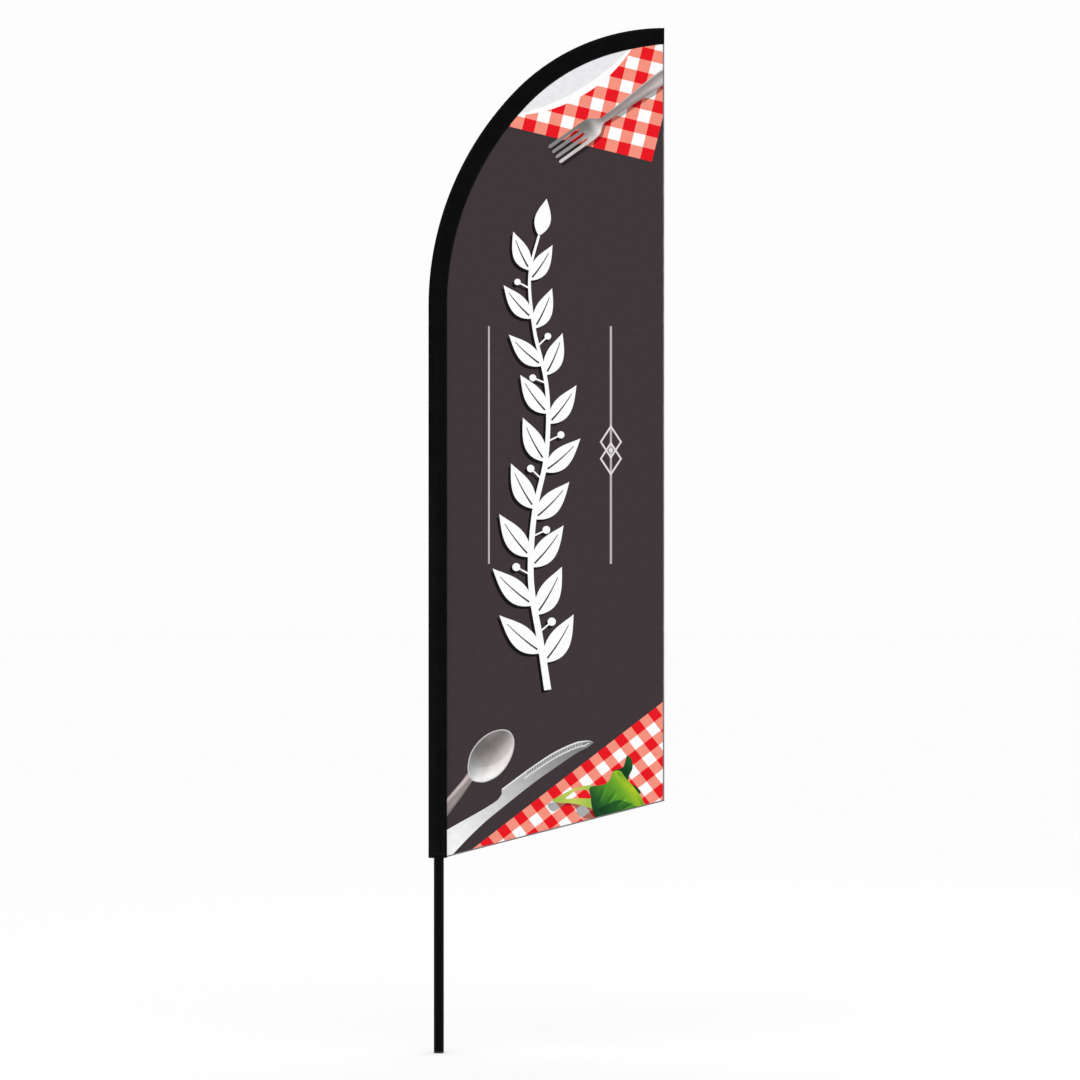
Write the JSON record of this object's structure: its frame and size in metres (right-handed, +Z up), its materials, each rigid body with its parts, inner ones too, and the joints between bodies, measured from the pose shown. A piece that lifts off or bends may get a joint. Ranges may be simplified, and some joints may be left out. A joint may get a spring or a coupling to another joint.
{
  "type": "feather flag with pole",
  "caption": "Feather flag: a printed cloth panel in a curved pole sleeve, on a take-down tube mast that swivels on a bored foot bush.",
  "frame": {"origin": "centre of the pole's bottom end, at the mouth of the spindle bore", "axes": "+Z up along the pole; the flag stands off the pole towards +X; the printed front faces -Y"},
  "size_m": [0.7018, 0.0364, 3.05],
  "materials": {
    "black_acetal": "satin moulded",
    "white_acetal": "satin moulded",
    "spring_steel": "blackened satin",
    "black_tube": "black powder coat, satin",
    "bare_aluminium": "drawn satin",
    "rivet_metal": "black, satin",
    "black_nylon": "satin moulded",
    "fibreglass": "pultruded, satin gloss",
    "ferrule_steel": "drawn satin",
    "cap_rubber": "matte",
    "sleeve_cloth": "black woven polyester",
    "black_webbing": "woven webbing",
    "hook_and_loop": "napped",
    "printed_cloth": "knitted polyester, dye-printed, satin",
    "edge_binding": "grey woven binding"
  },
  "bodies": {
    "foot": {"foot_bush": "black_acetal", "thrust_washer": "white_acetal", "retaining_ring": "spring_steel"},
    "lower_mast": {"lower_tube": "black_tube", "stop_ring": "bare_aluminium", "lower_spigot": "bare_aluminium", "lower_rivets": "rivet_metal"},
    "middle_mast": {"middle_tube": "black_tube", "reducer": "black_nylon", "reducer_rivets": "rivet_metal"},
    "upper_mast": {"upper_tube": "fibreglass", "upper_band": "ferrule_steel"},
    "tip": {"tip_ferrule": "ferrule_steel", "tip_collar": "black_nylon", "tip_rod": "fibreglass", "tip_cap": "cap_rubber", "sleeve": "sleeve_cloth", "cuff_webbing": "black_webbing", "cinch_strap": "black_webbing", "strap_fastener": "hook_and_loop", "strap_tab": "black_webbing", "tip_patch": "black_webbing", "flag_panel": "printed_cloth", "fly_binding": "edge_binding", "bottom_binding": "edge_binding"}
  },
  "joints": [
    {"name": "swivel", "type": "hinge", "parent": "foot", "child": "lower_mast", "pos_m": [0, 0, 0.05], "axis": [0, 0, 1], "continuous": true},
    {"name": "lower_push_fit", "type": "slide", "parent": "lower_mast", "child": "middle_mast", "axis": [0, 0, 1], "range_m": [0, 0.11]},
    {"name": "middle_push_fit", "type": "slide", "parent": "middle_mast", "child": "upper_mast", "axis": [0, 0, 1], "range_m": [0, 0.11]},
    {"name": "tip_push_fit", "type": "slide", "parent": "upper_mast", "child": "tip", "axis": [0, 0, 1], "range_m": [0, 0.11]}
  ]
}
